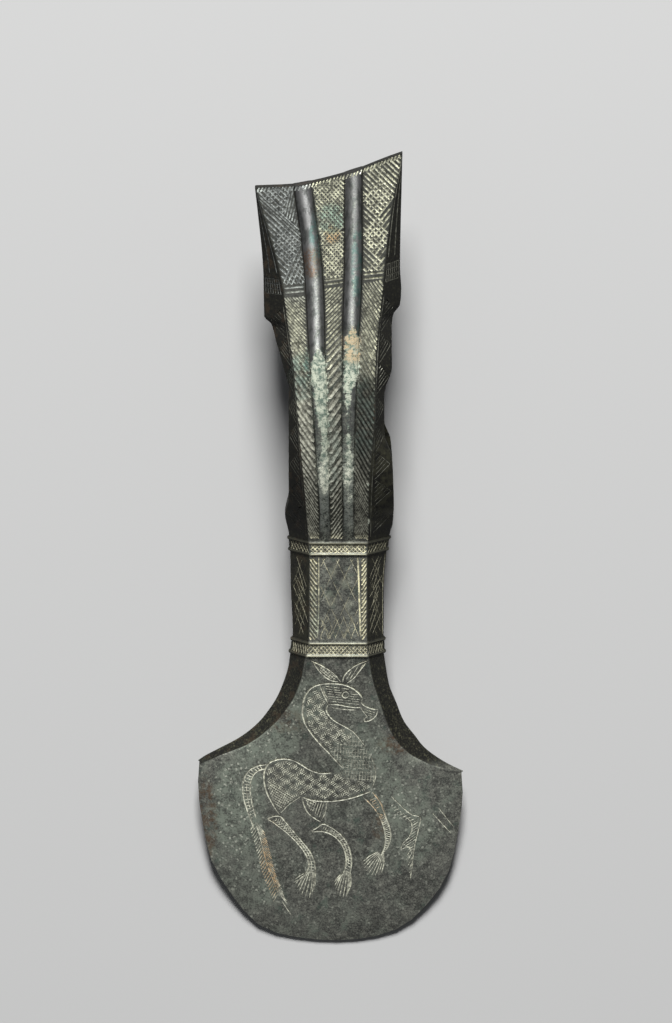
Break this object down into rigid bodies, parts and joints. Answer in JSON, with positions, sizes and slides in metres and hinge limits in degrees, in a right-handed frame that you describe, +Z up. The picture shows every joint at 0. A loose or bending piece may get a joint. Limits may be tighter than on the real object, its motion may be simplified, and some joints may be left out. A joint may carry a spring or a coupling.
{
  "type": "shaft-hole axe head",
  "caption": "Cast bronze shaft-hole axe head lying on its back: fan blade with an engraved horse, hatched collars, ribbed socket with an oval haft hole and a flared butt.",
  "frame": {"origin": "centre of the bounding box in plan, on the floor that the axe head lies on", "axes": "+Y from the cutting edge towards the butt, +Z up out of the decorated face as it lies, +X across the blade"},
  "size_m": [0.061, 0.1812, 0.0372],
  "materials": {
    "bronze": "satin"
  },
  "bodies": {
    "root": {"axe_head": "bronze"}
  },
  "joints": []
}
